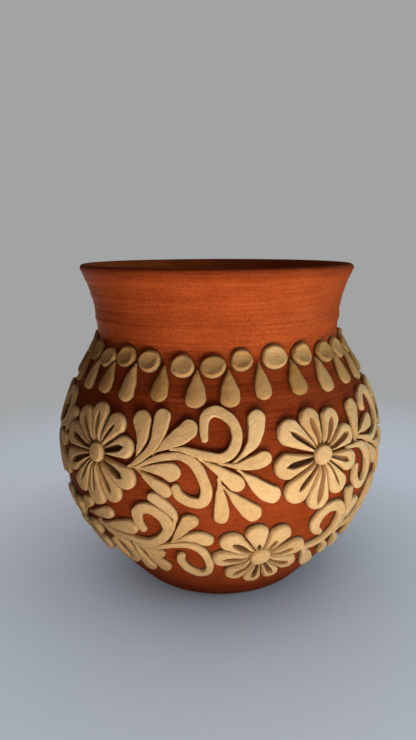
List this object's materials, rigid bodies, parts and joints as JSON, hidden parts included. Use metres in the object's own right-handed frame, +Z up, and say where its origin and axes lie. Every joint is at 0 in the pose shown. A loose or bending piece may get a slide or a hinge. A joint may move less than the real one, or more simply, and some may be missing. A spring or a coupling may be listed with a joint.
{
  "type": "clay vase",
  "caption": "Round-bellied thrown clay vase with a flared neck and rounded lip, set with applied cream clay beads, drops, flowers and scrolled leaf sprigs.",
  "frame": {"origin": "middle of the flat foot, on the vase's axis", "axes": "+Z up along the vase's axis; the front of the picture faces -Y"},
  "size_m": [0.1491, 0.149, 0.142],
  "materials": {
    "terracotta": "unglazed, matte, with fine throwing lines",
    "cream_clay": "unglazed, matte, smoothed with a damp finger"
  },
  "bodies": {
    "root": {"body": "terracotta", "collar_beads": "cream_clay", "collar_drops": "cream_clay", "upper_flower_1_petals": "cream_clay", "upper_flower_1_button": "cream_clay", "upper_sprig_1_top_scrolls": "cream_clay", "upper_sprig_1_low_scroll": "cream_clay", "upper_sprig_1_leaves": "cream_clay", "lower_flower_1_petals": "cream_clay", "lower_flower_1_button": "cream_clay", "lower_sprig_1_top_scroll": "cream_clay", "lower_sprig_1_low_scrolls": "cream_clay", "lower_sprig_1_leaves": "cream_clay", "upper_flower_2_petals": "cream_clay", "upper_flower_2_button": "cream_clay", "upper_sprig_2_top_scrolls": "cream_clay", "upper_sprig_2_low_scroll": "cream_clay", "upper_sprig_2_leaves": "cream_clay", "lower_flower_2_petals": "cream_clay", "lower_flower_2_button": "cream_clay", "lower_sprig_2_top_scroll": "cream_clay", "lower_sprig_2_low_scrolls": "cream_clay", "lower_sprig_2_leaves": "cream_clay", "upper_flower_3_petals": "cream_clay", "upper_flower_3_button": "cream_clay", "upper_sprig_3_top_scrolls": "cream_clay", "upper_sprig_3_low_scroll": "cream_clay", "upper_sprig_3_leaves": "cream_clay", "lower_flower_3_petals": "cream_clay", "lower_flower_3_button": "cream_clay", "lower_sprig_3_top_scroll": "cream_clay", "lower_sprig_3_low_scrolls": "cream_clay", "lower_sprig_3_leaves": "cream_clay", "upper_flower_4_petals": "cream_clay", "upper_flower_4_button": "cream_clay", "upper_sprig_4_top_scrolls": "cream_clay", "upper_sprig_4_low_scroll": "cream_clay", "upper_sprig_4_leaves": "cream_clay", "lower_flower_4_petals": "cream_clay", "lower_flower_4_button": "cream_clay", "lower_sprig_4_top_scroll": "cream_clay", "lower_sprig_4_low_scrolls": "cream_clay", "lower_sprig_4_leaves": "cream_clay", "upper_flower_5_petals": "cream_clay", "upper_flower_5_button": "cream_clay", "upper_sprig_5_top_scrolls": "cream_clay", "upper_sprig_5_low_scroll": "cream_clay", "upper_sprig_5_leaves": "cream_clay", "lower_flower_5_petals": "cream_clay", "lower_flower_5_button": "cream_clay", "lower_sprig_5_top_scroll": "cream_clay", "lower_sprig_5_low_scrolls": "cream_clay", "lower_sprig_5_leaves": "cream_clay"}
  },
  "joints": []
}
